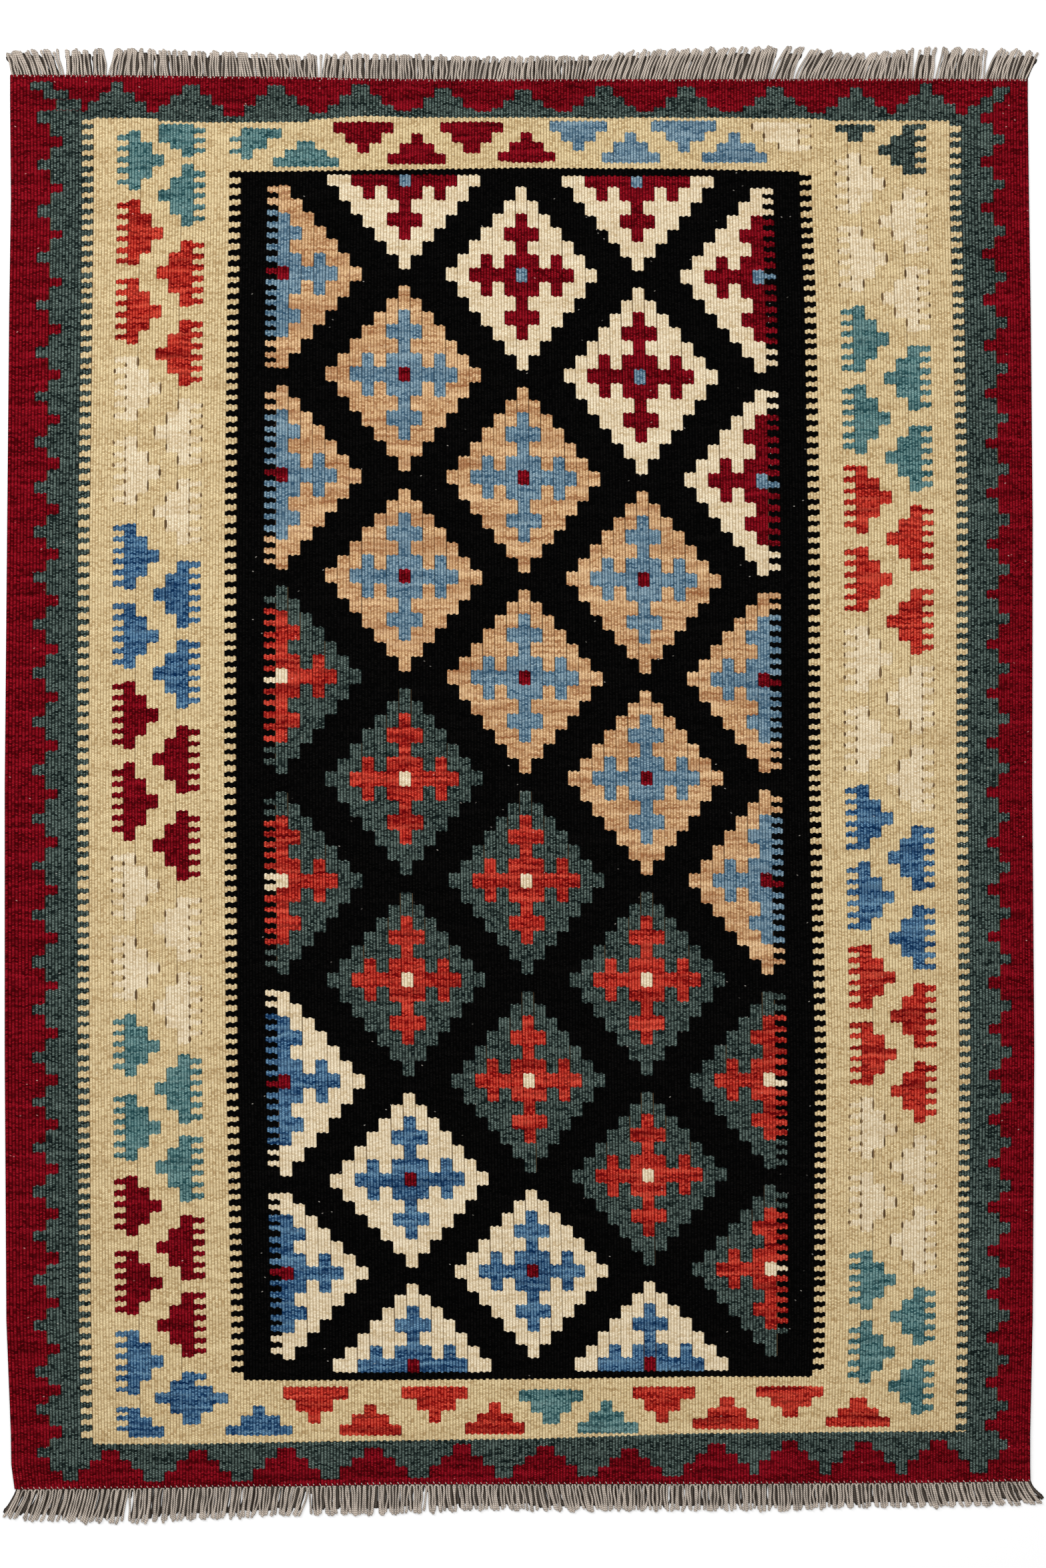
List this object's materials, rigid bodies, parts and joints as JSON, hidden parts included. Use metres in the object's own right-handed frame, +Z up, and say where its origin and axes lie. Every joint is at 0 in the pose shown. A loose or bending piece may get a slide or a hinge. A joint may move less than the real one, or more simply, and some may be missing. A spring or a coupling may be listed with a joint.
{
  "type": "kilim rug",
  "caption": "Flat woven wool kilim rug with a stepped diamond field, stepped borders and a plied warp fringe along both ends.",
  "frame": {"origin": "on the floor under the middle of the rug's outline, fringes included", "axes": "+Y along the rug's length towards its top end, +X across its width, +Z up out of the pile-free face"},
  "size_m": [1.275, 1.8128, 0.003],
  "materials": {
    "warp_foundation": "matt spun cotton warp",
    "fringe_cotton": "matt plied cotton",
    "yarn_crimson": "matt hand spun wool",
    "yarn_teal": "matt hand spun wool, heathered",
    "yarn_sand": "matt hand spun wool",
    "yarn_cream": "matt hand spun wool",
    "yarn_black": "matt hand spun wool",
    "yarn_camel": "matt hand spun wool",
    "yarn_sky_blue": "matt hand spun wool",
    "yarn_brick": "matt hand spun wool, streaked",
    "yarn_royal_blue": "matt hand spun wool, streaked",
    "yarn_turquoise": "matt hand spun wool"
  },
  "bodies": {
    "root": {"kilim_cloth": "warp_foundation", "fringe_top": "fringe_cotton", "fringe_bottom": "fringe_cotton"}
  },
  "joints": []
}
